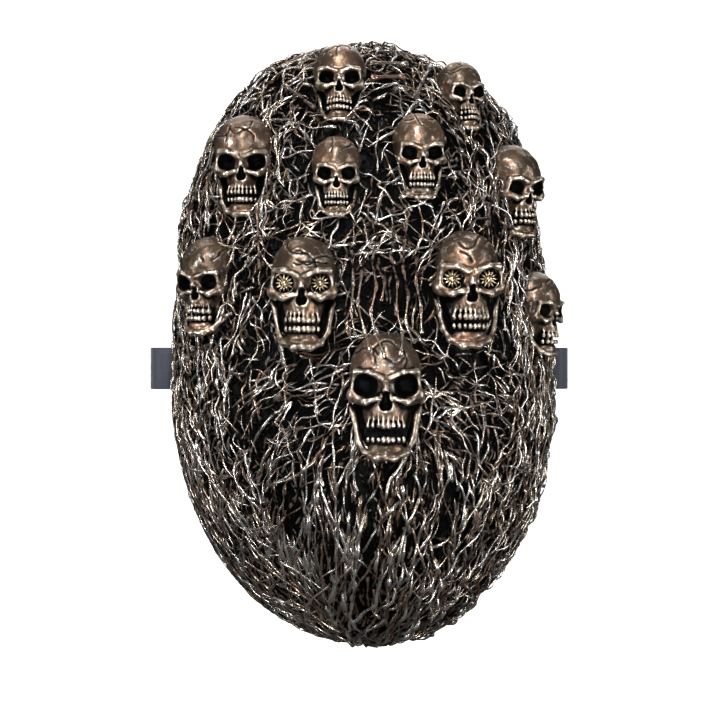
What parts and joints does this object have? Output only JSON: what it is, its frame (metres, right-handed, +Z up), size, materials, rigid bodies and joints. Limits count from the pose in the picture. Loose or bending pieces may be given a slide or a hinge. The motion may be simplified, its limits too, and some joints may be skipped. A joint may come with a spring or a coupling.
{
  "type": "full-face costume mask",
  "caption": "Full-face latex costume mask: a half-egg shell under root-like relief with small cast skulls, metal eye grilles, foam pads and an elastic head strap.",
  "frame": {"origin": "middle of the face opening, where the symmetry plane, the plane of the rim and the wearer's eye line meet", "axes": "+Z up towards the crown, -Y the way the face looks, +X to the right as seen from in front"},
  "size_m": [0.202, 0.2281, 0.2863],
  "materials": {
    "latex_shell": "matt, almost black latex",
    "strand_relief": "black latex dry-brushed with bronze and pewter",
    "cast_skull": "bronze paint, dark in the hollows, bright on the ridges",
    "cast_bone": "bronze paint rubbed to pewter on the knobs",
    "grille_metal": "bright, lightly worn",
    "gauze_cloth": "fine black netting",
    "pad_foam": "matt open-cell foam under thin knit",
    "strap_webbing": "smooth woven webbing, navy black",
    "strap_elastic": "ribbed elastic, navy black",
    "rivet_metal": "blackened, worn at the edge",
    "slider_plastic": "moulded, matt black"
  },
  "bodies": {
    "mask": {"mask_shell": "latex_shell", "mat_crown": "strand_relief", "mat_left": "strand_relief", "mat_centre": "strand_relief", "mat_right": "strand_relief", "mat_beard": "strand_relief", "skull_crown_left": "cast_skull", "skull_crown_right": "cast_skull", "skull_temple_left": "cast_skull", "skull_brow_left": "cast_skull", "skull_brow_right": "cast_skull", "skull_temple_right": "cast_skull", "skull_cheek_left": "cast_skull", "skull_eye_left": "cast_skull", "skull_eye_right": "cast_skull", "skull_cheek_right": "cast_skull", "skull_mouth": "cast_skull", "long_bones": "cast_bone", "finger_bones": "cast_bone", "grille_eye_left_a": "grille_metal", "grille_eye_left_b": "grille_metal", "grille_eye_right_a": "grille_metal", "grille_eye_right_b": "grille_metal", "gauze_sight_left": "gauze_cloth", "gauze_sight_right": "gauze_cloth", "gauze_breath": "gauze_cloth", "brow_pad": "pad_foam", "cheek_pad_left": "pad_foam", "cheek_pad_right": "pad_foam", "strap_tab_left": "strap_webbing", "strap_tab_right": "strap_webbing", "strap_rivet_left": "rivet_metal", "strap_rivet_right": "rivet_metal"},
    "strap": {"band_side_left": "strap_elastic", "band_side_right": "strap_elastic"},
    "strap_rear": {"band_rear": "strap_elastic", "band_tail": "strap_elastic"},
    "slider": {"slider": "slider_plastic"}
  },
  "joints": [
    {"name": "strap_swing", "type": "hinge", "parent": "mask", "child": "strap", "pos_m": [0, 0.022, -0.038], "axis": [1, 0, 0], "range_deg": [-75, 75]},
    {"name": "strap_stretch", "type": "slide", "parent": "strap", "child": "strap_rear", "axis": [0, 1, 0], "range_m": [0, 0.04], "stiffness_N_per_m": 50},
    {"name": "slider_travel", "type": "slide", "parent": "strap_rear", "child": "slider", "axis": [1, 0, 0], "range_m": [-0.02, 0.02]}
  ]
}
